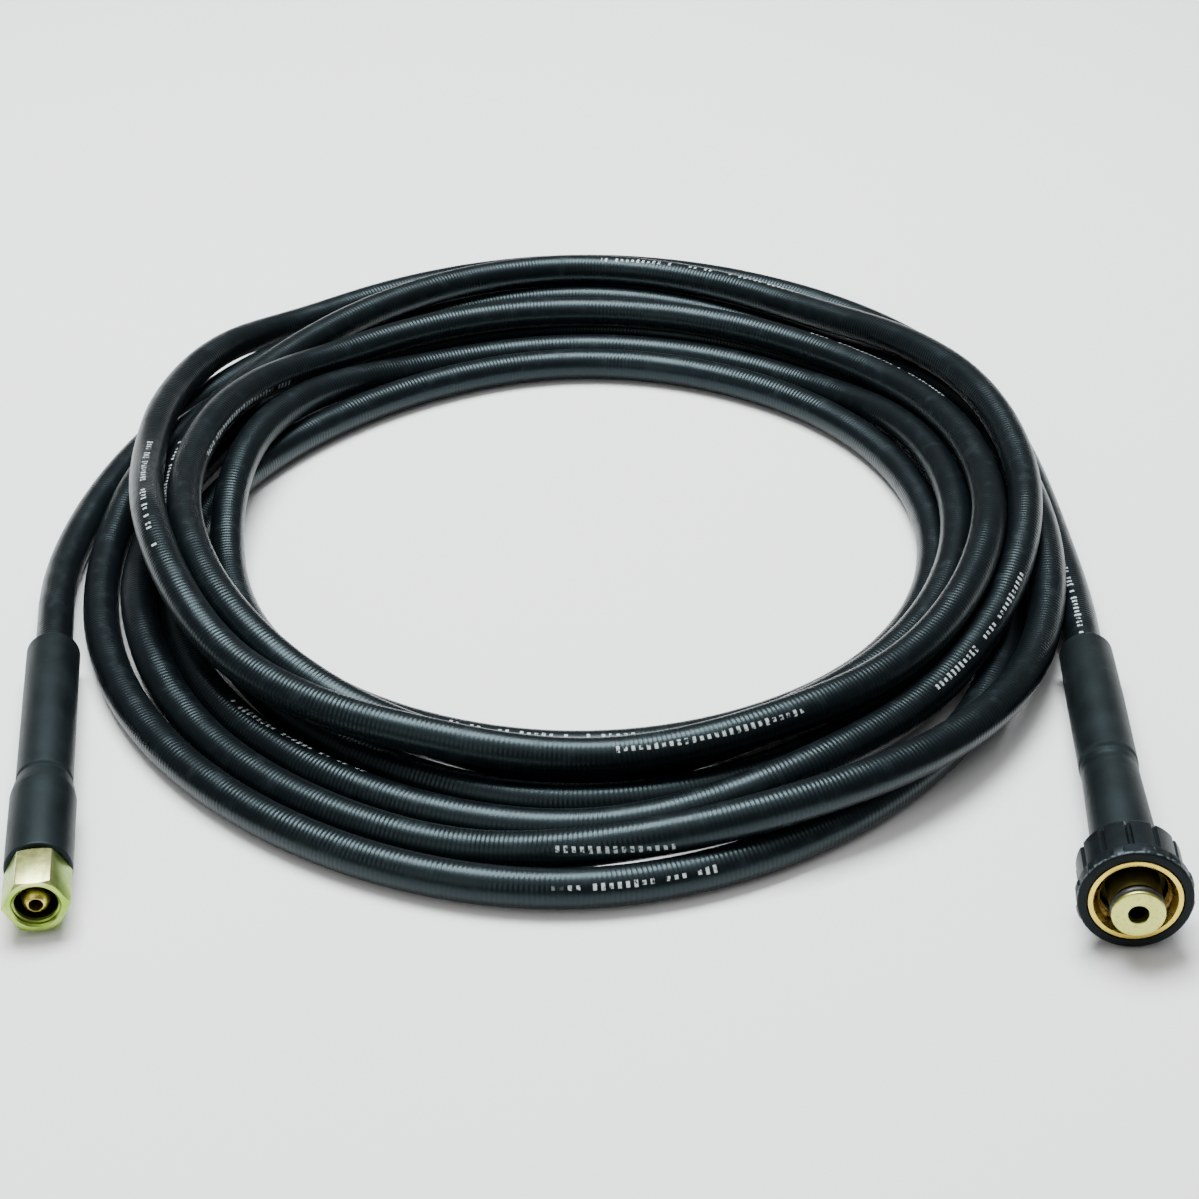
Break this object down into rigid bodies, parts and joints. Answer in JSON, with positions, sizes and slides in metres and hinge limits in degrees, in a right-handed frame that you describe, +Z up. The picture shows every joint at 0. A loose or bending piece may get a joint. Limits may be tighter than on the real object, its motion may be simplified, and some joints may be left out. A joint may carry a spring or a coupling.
{
  "type": "pressure washer hose",
  "caption": "Black rubber high-pressure hose in a loose coil, with a hex swivel nut on one end and a round hand-tightened nut on the other.",
  "frame": {"origin": "centre of the bounding box at the floor that the hose lies on", "axes": "+Z up, +X to the right, +Y away from the two fittings, so the fittings point along -Y"},
  "size_m": [0.3592, 0.4518, 0.0408],
  "materials": {
    "hose_rubber": "satin black rubber with fine wrap marks",
    "sleeve_rubber": "matt black moulded rubber",
    "plated_steel": "yellow-green zinc plated steel",
    "nut_plastic": "matt black moulded plastic",
    "brass": "turned brass",
    "seal_rubber": "black seal rubber"
  },
  "bodies": {
    "hose": {"hose": "hose_rubber", "sleeve_left": "sleeve_rubber", "nipple_left": "plated_steel", "sleeve_right": "sleeve_rubber", "nipple_right": "plated_steel", "o_ring": "seal_rubber"},
    "hex_nut": {"hex_nut": "plated_steel"},
    "hand_nut": {"hand_nut": "nut_plastic", "nut_insert": "brass"}
  },
  "joints": [
    {"name": "hex_nut_spin", "type": "hinge", "parent": "hose", "child": "hex_nut", "pos_m": [-0.16755, -0.07694, 0.0087], "axis": [0.1512, -0.9884, 0.0148], "continuous": true},
    {"name": "hand_nut_spin", "type": "hinge", "parent": "hose", "child": "hand_nut", "pos_m": [0.17155, -0.07784, 0.0087], "axis": [-0.0714, -0.9957, 0.0586], "continuous": true}
  ]
}
